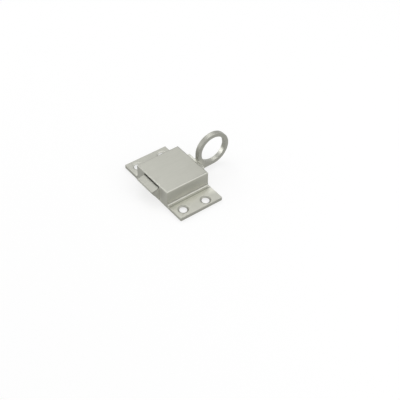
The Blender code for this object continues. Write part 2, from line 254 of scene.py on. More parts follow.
def turned(profile, steps, swell=None):
    """Mesh data of a (radius, height) profile turned about Z, closed by a point at each end.

    swell adds to the radius by height and turn, which is how a thread is cut.
    """
    swell = swell or (lambda height, turn: 0)
    bm = bmesh.new()
    rings = [[bm.verts.new((0, 0, profile[0][1]))]]
    for radius, height in profile[1:-1]:
        ring = []
        for step in range(steps):
            wide, angle = radius + swell(height, step / steps), tau * step / steps
            ring.append(bm.verts.new((wide * cos(angle), wide * sin(angle), height)))
        rings.append(ring)
    rings.append([bm.verts.new((0, 0, profile[-1][1]))])
    for lower, upper in zip(rings, rings[1:]):
        for step in range(steps):
            after = (step + 1) % steps
            corners = [lower[step % len(lower)], lower[after % len(lower)]]
            corners += [upper[after % len(upper)], upper[step % len(upper)]]
            bm.faces.new(dict.fromkeys(corners))
    bmesh.ops.recalc_face_normals(bm, faces=bm.faces)
    return bm


def blank(name, bm, place=(0, 0, 0)):
    """An unfinished object made of mesh data, which is used up."""
    mesh = bpy.data.meshes.new(name)
    bm.to_mesh(mesh)
    bm.free()
    made = bpy.data.objects.new(name, mesh)
    bpy.context.scene.collection.objects.link(made)
    made.location = place
    return made


def combine(target, operation, form):
    """Join or cut the target with another object, which is then thrown away."""
    step = target.modifiers.new(form.name, "BOOLEAN")
    step.operation = operation
    step.solver = "EXACT"
    step.object = form
    settle(target)
    bpy.data.objects.remove(form)


def settle(target):
    """Apply the modifiers of an object to its mesh."""
    bpy.context.view_layer.update()
    seen = target.evaluated_get(bpy.context.evaluated_depsgraph_get())
    mesh = bpy.data.meshes.new_from_object(seen)
    target.modifiers.clear()
    target.data = mesh


def soften(target, width, steps=3, sharpest=34, spare=lambda middle: False):
    """Round every edge that is sharper than an angle in degrees, and shade the piece smoothly.

    spare names the edges that stay crisp, by their middle.
    """
    weld, level = 0.0005 * MM, radians(0.3)
    bm = bmesh.new()
    bm.from_mesh(target.data)
    bmesh.ops.remove_doubles(bm, verts=bm.verts, dist=weld)
    bmesh.ops.dissolve_limit(bm, angle_limit=level, verts=bm.verts, edges=bm.edges)
    weight = bm.edges.layers.float.new("bevel_weight_edge")
    for e in bm.edges:
        middle = (e.verts[0].co + e.verts[1].co) / 2
        e[weight] = float(e.calc_face_angle(0) > radians(sharpest) and not spare(middle))
    bm.to_mesh(target.data)
    bm.free()
    edge = target.modifiers.new("soft_edges", "BEVEL")
    edge.width = width
    edge.segments = steps
    edge.limit_method = "WEIGHT"
    edge.use_clamp_overlap = False
    edge.miter_outer = "MITER_ARC"
    settle(target)
    target.data.shade_smooth()
    target.data.set_sharp_from_angle(angle=radians(sharpest))
    flat = target.modifiers.new("flat_faces", "WEIGHTED_NORMAL")
    flat.keep_sharp = True
    flat.weight = 60
    settle(target)


def hand_over(piece, material, body, slot, *nodes):
    """Give a finished piece its metal and its body, and hide the CAD nodes that it stands for."""
    if piece.location.length or piece.rotation_euler.to_quaternion().angle:
        raise ValueError(f"{piece.name} isn't at the origin")
    piece.data.materials.clear()
    piece.data.materials.append(material)
    if body:
        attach(piece, body)
    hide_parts(*nodes)


# Metals


class Nodes:
    """Short forms for making and joining shader or geometry nodes."""

    def __init__(self, tree):
        self.tree = tree

    def add(self, kind, links=None, **values):
        """A node of a kind. links gives its inputs, by identifier, name or number."""
        node = self.tree.nodes.new(kind)
        for key, value in values.items():
            setattr(node, key, value)
        for key, source in (links or {}).items():
            exact = [item for item in node.inputs if item.identifier == key]
            socket = exact[0] if exact else node.inputs[key]
            if isinstance(source, bpy.types.NodeSocket):
                self.tree.links.new(source, socket)
            else:
                socket.default_value = source
        return node

    def math(self, operation, first, second=0.0):
        """One step of arithmetic."""
        kind = "ShaderNodeMath"
        return self.add(kind, {0: first, 1: second}, operation=operation).outputs[0]

    def times(self, first, *others):
        """The product of masks and plain numbers."""
        for other in others:
            first = self.math("MULTIPLY", first, other)
        return first

    def strongest(self, first, *others):
        """The highest of several masks."""
        for other in others:
            first = self.math("MAXIMUM", first, other)
        return first

    def ramp(self, source, low, high, start=0.0, end=1.0):
        """Map a range of values to another, clamped at both ends."""
        links = {"Value": source, "From Min": low, "From Max": high, "To Min": start, "To Max": end}
        return self.add("ShaderNodeMapRange", links, clamp=True).outputs["Result"]

    def band(self, source, rise, fall):
        """A mask that rises over one range of values and falls over another."""
        return self.times(self.ramp(source, *rise), self.ramp(source, *fall))

    def blend(self, amount, first, second, mode="MIX"):
        """Mix two colours."""
        links = {"Factor_Float": amount, "A_Color": first, "B_Color": second}
        node = self.add("ShaderNodeMix", links, data_type="RGBA", blend_type=mode)
        return next(item for item in node.outputs if item.identifier == "Result_Color")

    def lighten(self, amount, colour, strength):
        """Multiply a colour by a strength where a mask says so."""
        return self.blend(amount, colour, opaque([strength] * 3), "MULTIPLY")

    def grain(self, place, stretch, detail=3.0):
        """Noise on Object coordinates, stretched by its scale along each axis."""
        field = self.add("ShaderNodeMapping", {"Vector": place, "Scale": stretch}).outputs["Vector"]
        links = {"Vector": field, "Scale": 1.0, "Detail": detail, "Roughness": 0.6}
        return self.add("ShaderNodeTexNoise", links).outputs["Fac"]

    def openness(self, distance):
        """How little of the same piece stands within a distance of a point."""
        links = {"Distance": distance}
        node = self.add("ShaderNodeAmbientOcclusion", links, samples=8, only_local=True)
        return node.outputs["AO"]

    def finish_geometry(self, geometry, metal):
        """End a Geometry Nodes tree with real geometry in its metal."""
        real = self.add("GeometryNodeRealizeInstances", {"Geometry": geometry}).outputs[0]
        made = self.add("GeometryNodeSetMaterial", {"Geometry": real, "Material": metal}).outputs[0]
        self.add("NodeGroupOutput", {"Geometry": made})


def opaque(colour):
    """A colour with its fourth channel."""
    return (*colour, 1.0)


def start_metal(name):
    """An empty metal with its shader, and the Object coordinates that its patterns use."""
    metal = bpy.data.materials.new(name)
    metal.use_nodes = True
    make = Nodes(metal.node_tree)
    shader = metal.node_tree.nodes["Principled BSDF"]
    shader.inputs["Metallic"].default_value = 1.0
    place = make.add("ShaderNodeTexCoord").outputs["Object"]
    return metal, make, shader, place


def finish_metal(make, shader, colour, roughness, height, depth):
    """Join the colour, roughness and relief of a metal to its shader."""
    relief = make.add("ShaderNodeBump", {"Height": height, "Distance": depth, "Strength": 1.0})
    make.tree.links.new(colour, shader.inputs["Base Color"])
    make.tree.links.new(roughness, shader.inputs["Roughness"])
    make.tree.links.new(relief.outputs["Normal"], shader.inputs["Normal"])


class Surface:
    """What the tones of a casting follow: where a point is, how it faces and its edges.

    It also holds the masks for painted shade in corners and for painted fill light in places
    closed in by the piece itself.
    """

    def __init__(self, make, place):
        self.at = make.add("ShaderNodeSeparateXYZ", {"Vector": place}).outputs
        face = make.add("ShaderNodeNewGeometry").outputs["Normal"]
        self.facing = make.add("ShaderNodeSeparateXYZ", {"Vector": face}).outputs
        self.upward = make.ramp(self.facing["Z"], 0.25, 0.85)
        self.upright = make.math("SUBTRACT", 1.0, self.upward)
        self.sideways = make.math("ABSOLUTE", self.facing["X"])
        self.endways = make.ramp(make.math("ABSOLUTE", self.facing["Y"]), 0.6, 0.9)
        rounded = make.add("ShaderNodeBevel", {"Radius": 0.35 * MM}, samples=6).outputs["Normal"]
        turn = make.add("ShaderNodeVectorMath", {0: rounded, 1: face}, operation="DOT_PRODUCT")
        self.edge = make.ramp(turn.outputs["Value"], 0.995, 0.90)
        # Mask for painted shade in corners and creases: high where little room is left around a
        # point.
        self.corner = make.ramp(make.openness(1.6 * MM), 0.34, 0.08)
        # Mask for painted fill light: high where much of the same piece stands within 8 mm.
        self.painted_fill_mask = make.ramp(make.openness(8 * MM), 0.92, 0.5)


def case_tones(make, surface, faces, s):
    """The case's colour with its painted light, and where it gets painted highlight, painted shade
    and extra smoothness.

    Its walls with windows are painted lighter right of the middle, and its right flange (most of
    all beside the wall) and the tops of its end walls are painted lighter. Its crown's -Y and +X
    edges, right cove and left countersinks get painted highlights. Its right countersinks, both
    sides of that cove and its far upper edges, facing -X and +Y, get painted shade.
    """
    sizes = bpy.context.scene.catch_case
    at, facing = surface.at, surface.facing
    outward = make.math("SUBTRACT", at["X"], sizes.wall_x)
    above = make.math("SUBTRACT", at["Z"], sizes.flange)
    near_top = make.ramp(at["Z"], CASE_HIGH.z - 1.0 * MM, CASE_HIGH.z - 0.7 * MM)
    near_flange = make.ramp(above, 1.25 * MM, 0.95 * MM)
    in_sink = make.ramp(above, -0.05 * MM, -0.2 * MM)
    past_cove = make.ramp(outward, 0.95 * MM, 1.75 * MM)

    # Painted light: faces along Y from the middle to about 10 mm towards +X get the brighter
    # nickel, lifting the shade beside the bolt's nose.
    rubbed_and_painted_light = make.band(at["X"], (0.0, 2 * MM), (10 * MM, 8 * MM))
    faces = make.blend(make.times(surface.endways, rubbed_and_painted_light, 0.8), faces, opaque(s.nickel_worn_and_painted_light))
    # Painted light: the right flange's top is lighter, more so beside the case wall, and the end
    # walls grow lighter upwards.
    flat = make.times(past_cove, surface.upward)
    beside = make.ramp(outward, 1.45 * MM, 4.45 * MM, 0.4, 1.0)
    beside = make.times(flat, beside, make.ramp(outward, 8.95 * MM, 5.45 * MM))
    high = make.ramp(above, 1.65 * MM, 8.65 * MM, 0.0, 0.6)
    high = make.times(make.ramp(surface.sideways, 0.8, 0.95), high)
    faces = make.lighten(make.strongest(beside, high), faces, 1.4)
    faces = make.lighten(flat, faces, s.flange)

    # Painted highlights: the crown's -Y and +X edges, a band in the right cove, and the side of
    # the left countersinks that faces +X.
    crown = make.band(facing["Z"], (0.35, 0.7), (0.995, 0.95))
    crown = make.times(crown, make.ramp(facing["X"], -0.15, -0.02))
    crown = make.times(crown, make.ramp(facing["Y"], 0.15, 0.02), near_top, 0.75)
    cove = make.band(outward, (0.4 * MM, 0.6 * MM), (1.75 * MM, 1.45 * MM))
    cove = make.times(cove, near_flange, 0.5)
    left = make.ramp(at["X"], -16.0 * MM, -16.8 * MM)
    glint = make.times(left, in_sink, make.ramp(facing["X"], 0.15, 0.35), surface.upward)
    bright = make.strongest(crown, cove, glint)

    # Painted shade: the right countersinks, both sides of the right cove's painted highlight and
    # the crown's far upper edges, facing -X and +Y.
    painted_sink_shade = make.times(past_cove, in_sink, make.ramp(facing["Z"], 0.3, 0.6), 0.5)
    painted_shoulder_shade = make.band(outward, (0.03 * MM, 0.07 * MM), (0.45 * MM, 0.35 * MM))
    painted_shoulder_shade = make.times(painted_shoulder_shade, near_flange, 0.5)
    root = make.band(outward, (1.75 * MM, 1.95 * MM), (2.75 * MM, 2.45 * MM))
    root = make.times(root, surface.upward, 0.5)
    away = make.strongest(make.ramp(facing["X"], -0.04, -0.2), make.ramp(facing["Y"], 0.04, 0.2))
    away = make.times(away, make.ramp(facing["Z"], 0.1, 0.3), near_top, 0.45)
    return faces, bright, make.strongest(painted_sink_shade, painted_shoulder_shade, root, away), 0.0


def bolt_tones(make, surface, faces, s):
    """The bolt's colour with its painted light, and where it gets painted shade and extra
    smoothness.

    The bar's top grows brighter towards the tail, partly as wear from sliding and partly as
    painted light. The nose's upright sides get painted light, and the ring's inside a painted
    highlight that is also smoother. The head gets painted shade, most of all along its side
    edges.
    """
    sizes = bpy.context.scene.catch_bolt
    at, facing = surface.at, surface.facing
    neck, tail, ring = -sizes.neck, sizes.tail, ring_centre(sizes)[0]

    # Painted shade: the top of the head and nose is mixed a fifth of the way to the darker nickel.
    head = make.ramp(at["Y"], neck + 0.3 * MM, neck - 0.2 * MM, 0.0, 0.2)
    faces = make.blend(make.times(surface.upward, head), faces, opaque(s.nickel_dull_and_painted_shade))
    # Partly wear from sliding and partly painted light: the bar's top grows brighter towards the
    # tail, which lies in the case's shade.
    top = make.band(at["Y"], (neck - 0.2 * MM, 14 * MM), (tail + 0.5 * MM, tail - 0.5 * MM))
    top = make.times(surface.upward, top, s.rub_and_painted_light)
    # Painted light on the nose's upright sides, lifting the shade beside the case wall.
    aside = make.math("ABSOLUTE", at["X"])
    painted_flank_light = make.ramp(aside, BOLT_HIGH.x - 0.3 * MM, BOLT_HIGH.x - 0.1 * MM)
    painted_flank_light = make.times(painted_flank_light, make.ramp(at["Y"], -19.5 * MM, -16 * MM), surface.upright)
    # Painted highlight on the ring's inside, at its far side from the case and facing a little up;
    # the same mask makes it smoother.
    painted_ring_highlight = make.times(make.ramp(facing["Y"], -0.45, -0.62), make.ramp(facing["Z"], 0.3, 0.5))
    painted_ring_highlight = make.times(painted_ring_highlight, make.ramp(at["Y"], ring + 1.85 * MM, ring + 3.85 * MM))
    # Wear from sliding, painted light and the painted highlight, in the brighter nickel.
    rubbed_and_painted_light = make.strongest(top, painted_flank_light, painted_ring_highlight)
    faces = make.blend(rubbed_and_painted_light, faces, opaque(s.nickel_worn_and_painted_light))

    # Painted shade along the rounded side edges of the head and nose.
    rim = make.times(make.ramp(surface.sideways, 0.1, 0.3), make.ramp(facing["Z"], 0.1, 0.3))
    rim = make.times(rim, make.ramp(at["Y"], neck - 0.2 * MM, neck - 2.2 * MM))
    return faces, 0.0, rim, make.times(painted_ring_highlight, 3.0)


def satin_nickel(name, s, tones):
    """Plated casting: brush marks along the slide, cloudy sheen, worn edges, painted corner shade.

    Faces that lie flat are buffed smoother than upright ones. Places closed in by the piece
    itself get painted fill light, upright faces get painted shade towards the floor, and faces
    along Y get painted light towards +X. tones is the function for the zones that only this
    casting has.
    """
    metal, make, shader, place = start_metal(name)
    # The brighter colour also carries painted highlight and light, and the darker one painted
    # shade.
    worn, dull_and_painted_shade = opaque(s.nickel_worn_and_painted_light), opaque(s.nickel_dull_and_painted_shade)
    fine, coarse = 5200.0, 170.0
    hair = make.grain(place, (fine, coarse, fine), 2.0)
    lane = make.grain(place, (fine / 4, coarse / 2, fine / 4), 2.0)
    cloud = make.grain(place, (140.0, 140.0, 140.0))
    speck = make.grain(place, (2600.0, 2600.0, 2600.0), 2.0)
    surface = Surface(make, place)

    # Painted light: faces along Y (walls with windows, bolt ends) grow lighter towards +X.
    painted_wall_light = opaque([channel * s.painted_wall_light for channel in s.nickel])
    rightward = make.ramp(surface.at["X"], -15 * MM, 15 * MM)
    colour = make.blend(make.times(surface.endways, rightward), opaque(s.nickel), painted_wall_light)
    # and extra smoothness.
    # tones gives the colour with its painted light, and masks for painted highlight, painted shade
    colour, bright, painted_shade, smooth = tones(make, surface, colour, s)
    # Painted fill light where the piece shades itself.
    colour = make.lighten(surface.painted_fill_mask, colour, s.painted_fill_light)
    # Painted shade: upright faces darken towards the floor, plus the casting's own painted shade.
    foot = make.times(make.ramp(surface.at["Z"], 2.6 * MM, 0.6 * MM, 0.0, 0.15), surface.upright)
    colour = make.blend(make.strongest(foot, painted_shade), colour, dull_and_painted_shade)
    colour = make.blend(make.ramp(cloud, 0.3, 0.7, 0.0, 0.07), colour, dull_and_painted_shade)
    colour = make.blend(make.ramp(lane, 0.36, 0.66, 0.0, 0.12), colour, worn)
    # Painted shade in corners and creases.
    colour = make.blend(make.times(surface.corner, 0.75), colour, dull_and_painted_shade)
    wear = make.times(surface.edge, make.ramp(cloud, 0.35, 0.62, 0.35, 1.0))
    # Worn edges, and the painted highlights from tones, in the brighter nickel.
    colour = make.blend(make.strongest(make.times(wear, 0.7), bright), colour, worn)

    sheen = make.ramp(make.math("ADD", hair, lane), 0.7, 1.3, s.satin - 0.06, s.satin + 0.07)
    matted = make.math("ADD", sheen, make.times(surface.upright, s.matt))
    smoothed = make.times(make.strongest(wear, smooth), 0.07)
    roughness = make.math("SUBTRACT", matted, smoothed)
    height = make.math("ADD", make.times(hair, 0.7), make.times(speck, 0.3))
    finish_metal(make, shader, colour, roughness, height, 0.006 * MM)
    return metal


def plated_sheet(settings):
    """Zinc-plated steel sheet: rolling lines along Y over a blotchy spangle."""
    metal, make, shader, place = start_metal("zinc_sheet")
    roll = make.grain(place, (3800.0, 120.0, 3800.0), 2.0)
    links = {"Vector": place, "Scale": 620.0}
    spangle = make.add("ShaderNodeTexVoronoi", links, feature="F1").outputs["Color"]
    patch = make.add("ShaderNodeSeparateColor", {"Color": spangle}).outputs["Red"]
    tone = make.ramp(patch, 0.0, 1.0, 0.0, 0.35)
    pale = opaque([min(channel * 1.18, 1) for channel in settings.zinc])
    body = make.blend(tone, opaque(settings.zinc), pale)
    dark = opaque([channel * 0.8 for channel in settings.zinc])
    colour = make.blend(make.ramp(roll, 0.4, 0.7, 0.0, 0.3), body, dark)
    roughness = make.ramp(make.math("ADD", roll, patch), 0.3, 1.6, 0.34, 0.48)
    finish_metal(make, shader, colour, roughness, roll, 0.005 * MM)
    return metal


def drawn_wire(settings):
    """Spring wire: fine die marks and a thin film of oil that gathers in patches."""
    metal, make, shader, place = start_metal("drawn_wire")
    marks = make.grain(place, (2400.0, 900.0, 2400.0), 3.0)
    film = make.grain(place, (420.0, 420.0, 420.0), 2.0)
    dark = opaque([channel * 0.7 for channel in settings.wire])
    colour = make.blend(make.ramp(film, 0.35, 0.7), opaque(settings.wire), dark)
    roughness = make.ramp(film, 0.3, 0.7, 0.38, 0.24)
    finish_metal(make, shader, colour, roughness, marks, 0.004 * MM)
    return metal


def screw_metal(settings):
    """Zinc-plated screws with a mottled sheen."""
    metal, make, shader, place = start_metal("zinc_screw")
    mottle = make.grain(place, (1500.0, 1500.0, 1500.0), 3.0)
    pale = opaque([min(channel * 1.25, 1) for channel in settings.zinc])
    colour = make.blend(make.ramp(mottle, 0.3, 0.7), opaque(settings.zinc), pale)
    roughness = make.ramp(mottle, 0.3, 0.7, 0.42, 0.26)
    finish_metal(make, shader, colour, roughness, mottle, 0.005 * MM)
    return metal


# Case


def case_section(s):
    """Section through flanges and case in X and Z, anticlockwise from the lower right."""
    end, top = CASE_HIGH.x, CASE_HIGH.z
    cove = arc((s.wall_x + s.cove, s.flange + s.cove), s.cove, 1.5 * pi, pi)
    right = [(end, 0), (end, s.flange), *cove, (s.wall_x, top)]
    return right + [(-x, z) for x, z in reversed(right)]


def case_casting(s):
    """The outer form: one section drawn out, with rounded upper edges and plate corners."""
    bm = prism(case_section(s), CASE_LOW.y, CASE_HIGH.y, "Y")
    crown = [e for e in bm.edges if all(v.co.z > CASE_HIGH.z - s.crown / 2 for v in e.verts)]
    bmesh.ops.bevel(bm, geom=crown, offset=s.crown, segments=FINE_ARC, profile=0.5, affect="EDGES")
    ends = [e for e in bm.edges if all(abs(v.co.x) > CASE_HIGH.x - s.corner / 2 for v in e.verts)]
    upright = [e for e in ends if abs(e.verts[0].co.y - e.verts[1].co.y) < s.corner / 2]
    bmesh.ops.bevel(bm, geom=upright, offset=s.corner, segments=4, profile=0.5, affect="EDGES")
    return blank("case_casting", bm)


def screw_hole_places():
    """Middles of the four flange holes, each set in from one end and one edge of the plate."""
    insets = ((-1, -1, 5.25, 5.75), (-1, 1, 5.25, 6.05), (1, -1, 5.55, 5.75), (1, 1, 4.15, 8.95))
    return [
        (end * (CASE_HIGH.x - from_end * MM), edge * (CASE_HIGH.y - from_edge * MM))
        for end, edge, from_end, from_edge in insets
    ]


def plate_screw_places(inner):
    """Middles of the four screws of the back plate."""
    x, y = SCREW_HIGH.x - inner.head, SCREW_HIGH.y - inner.head
    return [(-x, -y), (-x, y), (x, -y), (x, y)]


class CATCH_OT_case(bpy.types.Operator):
    """Build the cast case with its flanges, countersinks, windows, ribs and screw posts"""

    bl_idname = "catch.case"
    bl_label = "Case"

    def execute(self, context):
        s, inner = context.scene.catch_case, context.scene.catch_inner
        case = case_casting(s)
        room_x = s.wall_x - s.wall
        room_y = CASE_HIGH.y - s.wall
        ceiling = CASE_HIGH.z - s.roof
        room_corner, seat_corner = 1.0 * MM, 1.3 * MM
        hollow = rounded_rectangle(room_x, room_y, room_corner)
        combine(case, "DIFFERENCE", blank("hollow", prism(hollow, -PAST, ceiling, "Z")))

        half = BOLT_HIGH.x + s.play
        window = rectangle((-half, inner.sheet), (half, s.lintel))
        reach = CASE_HIGH.y + PAST
        combine(case, "DIFFERENCE", blank("windows", prism(window, -reach, reach, "Y")))

        rib_place, rib_half, rib_front = 5.5 * MM, 0.7 * MM, -5.5 * MM
        rooted = ceiling + SINK
        for middle in (-rib_place, rib_place):
            rib = rectangle((middle - rib_half, BOLT_BAR_TOP + PLAY), (middle + rib_half, rooted))
            combine(case, "UNION", blank("rib", prism(rib, rib_front, room_y - s.wall, "Y")))

        wide, narrow, tip = 2.2 * MM, 1.1 * MM, SCREW_HIGH.z + PLAY
        post = [(0, 0), (wide, 0), (wide, rooted), (0, rooted)]
        bore = [(0, -PAST), (narrow, -PAST), (narrow, tip), (0, tip)]
        for x, y in plate_screw_places(inner):
            combine(case, "UNION", blank("post", turned(post, POST_STEPS), (x, y, 0)))
        seat = rounded_rectangle(PLATE_HIGH.x + PLAY, PLATE_HIGH.y + PLAY, seat_corner)
        combine(case, "DIFFERENCE", blank("seat", prism(seat, -PAST, inner.sheet + PLAY, "Z")))
        for x, y in plate_screw_places(inner):
            combine(case, "DIFFERENCE", blank("bore", turned(bore, POST_STEPS), (x, y, 0)))

        neck = s.flange - s.depth
        wide = s.sink + (s.sink - s.bore) / s.depth * PAST
        flare = s.back + (s.back - s.bore) / neck * PAST
        top = s.flange + PAST
        hole = [(0, -PAST), (flare, -PAST), (s.bore, neck), (wide, top), (0, top)]
        for x, y in screw_hole_places():
            combine(case, "DIFFERENCE", blank("screw_hole", turned(hole, HOLE_STEPS), (x, y, 0)))

        soften(case, s.soft, spare=lambda middle: abs(middle.x) < half + s.play)
        case.name = "case_shell"
        metal = satin_nickel("satin_nickel_case", context.scene.catch_finish, case_tones)
        hand_over(case, metal, "case_body", "satin_nickel", "case")
        return {"FINISHED"}


# Bolt


def bar_outline(s):
    """Side view of the bar in Y and Z: its head slopes to the nose, which is bevelled below."""
    tip, low = BOLT_LOW.y, BOLT_LOW.z
    centre = (tip + s.nose, s.top - s.nose)
    slope = atan2(s.lift, CASE_LOW.y - centre[0])
    heel = (CASE_LOW.y - PLAY, low)
    away = (heel[0] - centre[0], heel[1] - centre[1])
    bevel = atan2(away[1], away[0]) - acos(s.nose / hypot(*away))
    nose = arc(centre, s.nose, pi / 2 + slope, bevel + tau)
    head = [(-s.neck, s.top), (-s.neck, s.top + s.lift), (CASE_LOW.y, s.top + s.lift)]
    return [heel, (s.tail, low), (s.tail, s.top), *head, *nose]


def ring_centre(s):
    """Middle of the ring in Y and Z."""
    return (s.tail - s.lean + s.ring, BOLT_HIGH.z - s.ring)


def ring_outline(s):
    """Side view of the ring and its filled foot in Y and Z."""
    centre = ring_centre(s)
    foot = (s.tail, BOLT_LOW.z + s.foot)
    away = (foot[0] - centre[0], foot[1] - centre[1])
    touch = atan2(away[1], away[0]) + acos(s.ring / hypot(*away))
    point = (centre[0] + s.ring * cos(touch), centre[1] + s.ring * sin(touch))
    slope = (point[1] - foot[1]) / (point[0] - foot[0])
    hidden = (foot[0] - SINK, foot[1] - slope * SINK)
    around = arc(centre, s.ring, touch, pi, RING_STEPS)
    return [hidden, *around, (around[-1][0], s.top - SINK), (hidden[0], s.top - SINK)]


class CATCH_OT_bolt(bpy.types.Operator):
    """Build the sliding bolt with its bevelled nose, spring pocket and finger ring"""

    bl_idname = "catch.bolt"
    bl_label = "Bolt and ring"

    def execute(self, context):
        s, inner = context.scene.catch_bolt, context.scene.catch_inner
        bolt = blank("bar", prism(bar_outline(s), BOLT_LOW.x, BOLT_HIGH.x, "X"))
        half = s.thick / 2
        combine(bolt, "UNION", blank("ring", prism(ring_outline(s), -half, half, "X")))

        core, deep = s.ring - s.band, half + PAST
        hole = turned([(0, -deep), (core, -deep), (core, deep), (0, deep)], RING_STEPS)
        bmesh.ops.transform(hole, matrix=Matrix.Rotation(pi / 2, 4, "Y"), verts=hole.verts)
        combine(bolt, "DIFFERENCE", blank("ring_hole", hole, (0, *ring_centre(s))))

        wide = SPRING_HIGH.x + PLAY
        front = SPRING_LOW.y - PLAY
        rear = inner.tab_front + inner.sheet + PLAY
        pocket = rectangle((-wide, 0), (wide, PLATE_HIGH.z + PLAY))
        combine(bolt, "DIFFERENCE", blank("pocket", prism(pocket, front, rear, "Y")))

        soften(bolt, s.soft)
        bolt.name = "bolt_and_ring"
        metal = satin_nickel("satin_nickel_bolt", context.scene.catch_finish, bolt_tones)
        hand_over(bolt, metal, "bolt_body", "bolt_nickel", "latch_bolt")
        return {"FINISHED"}


# Spring


def geometry_tree(name, sizes):
    """A Geometry Nodes tree with named inputs, and the identifier and value of each input."""
    tree = bpy.data.node_groups.new(name, "GeometryNodeTree")
    tree.interface.new_socket("Geometry", in_out="OUTPUT", socket_type="NodeSocketGeometry")
    values = {}
    for label, (kind, value) in sizes.items():
        item = tree.interface.new_socket(label, in_out="INPUT", socket_type=kind)
        values[item.identifier] = value
    return tree, values


def grow(name, tree, values):
    """A mesh object made by a tree, with its inputs set before it is first evaluated."""
    made = bpy.data.objects.new(name, bpy.data.meshes.new(name))
    bpy.context.scene.collection.objects.link(made)
    step = made.modifiers.new(name, "NODES")
    step.node_group = tree
    for identifier, value in values.items():
        step[identifier] = value
    settle(made)
    return made


def spring_tree(metal, s):
    """A coil about Y: two closed end turns with an even pitch between them."""
    steps_per_turn, section_steps = 40.0, 14
    sizes = {
        "Coil radius": ("NodeSocketFloat", SPRING_HIGH.x - s.wire),
        "Wire radius": ("NodeSocketFloat", s.wire),
        "Working turns": ("NodeSocketFloat", s.turns),
        "Closed pitch": ("NodeSocketFloat", s.closed),
        "Front": ("NodeSocketFloat", SPRING_LOW.y + s.wire),
        "Rear": ("NodeSocketFloat", SPRING_HIGH.y - s.wire),
        "Axis height": ("NodeSocketFloat", (SPRING_LOW.z + SPRING_HIGH.z) / 2),
    }
    tree, values = geometry_tree("coil_spring", sizes)
    make = Nodes(tree)
    given = make.add("NodeGroupInput").outputs
    turn = make.math("DIVIDE", make.add("GeometryNodeInputIndex").outputs[0], steps_per_turn)
    total = make.math("ADD", given["Working turns"], 2.0)
    count = make.math("ADD", make.times(total, steps_per_turn), 1.0)
    line = make.add("GeometryNodeMeshLine", {"Count": count, "Offset": (0, 0, 0.1 * MM)})
    wire = make.add("GeometryNodeMeshToCurve", {"Mesh": line.outputs["Mesh"]}).outputs["Curve"]

    past_working = make.math("SUBTRACT", turn, given["Working turns"])
    last = make.strongest(make.math("SUBTRACT", past_working, 1.0), 0.0)
    closed = make.math("ADD", make.math("MINIMUM", turn, 1.0), last)
    working = make.math("SUBTRACT", turn, closed)
    span = make.math("SUBTRACT", given["Rear"], given["Front"])
    open_span = make.math("SUBTRACT", span, make.times(given["Closed pitch"], 2.0))
    pitch = make.math("DIVIDE", open_span, given["Working turns"])
    along = make.math("ADD", given["Front"], make.times(closed, given["Closed pitch"]))
    along = make.math("ADD", along, make.times(working, pitch))
    angle = make.times(turn, tau)
    across = make.times(make.math("SINE", angle), given["Coil radius"])
    up = make.times(make.math("COSINE", angle), given["Coil radius"])
    up = make.math("ADD", up, given["Axis height"])
    place = make.add("ShaderNodeCombineXYZ", {"X": across, "Y": along, "Z": up}).outputs[0]
    coiled = make.add("GeometryNodeSetPosition", {"Geometry": wire, "Position": place}).outputs[0]
    links = {"Resolution": section_steps, "Radius": given["Wire radius"]}
    section = make.add("GeometryNodeCurvePrimitiveCircle", links).outputs["Curve"]
    links = {"Curve": coiled, "Profile Curve": section, "Fill Caps": True}
    tube = make.add("GeometryNodeCurveToMesh", links).outputs["Mesh"]
    make.finish_geometry(tube, metal)
    return tree, values


class CATCH_OT_spring(bpy.types.Operator):
    """Coil the spring that pushes the bolt out"""

    bl_idname = "catch.spring"
    bl_label = "Spring"

    def execute(self, context):
        s = context.scene.catch_inner
        metal = drawn_wire(context.scene.catch_finish)
        spring = grow("coil_spring", *spring_tree(metal, s))
        spring.data.shade_smooth()
        spring.data.set_sharp_from_angle(angle=radians(40))
        hand_over(spring, metal, None, "spring_steel", "bolt_spring")
        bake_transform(spring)
        return {"FINISHED"}


# Back plate


def tab_outline(s):
    """Side view of the bent tab in Y and Z."""
    root = s.tab_front + s.sheet + s.bend
    centre = (root, s.sheet + s.bend)
    outer = arc(centre, s.bend + s.sheet, 1.5 * pi, pi)
    inner = arc(centre, s.bend, pi, 1.5 * pi)
    tips = [(s.tab_front, PLATE_HIGH.z), (s.tab_front + s.sheet, PLATE_HIGH.z)]
    return [(root + SINK, 0), *outer, *tips, *inner, (root + SINK, s.sheet)]


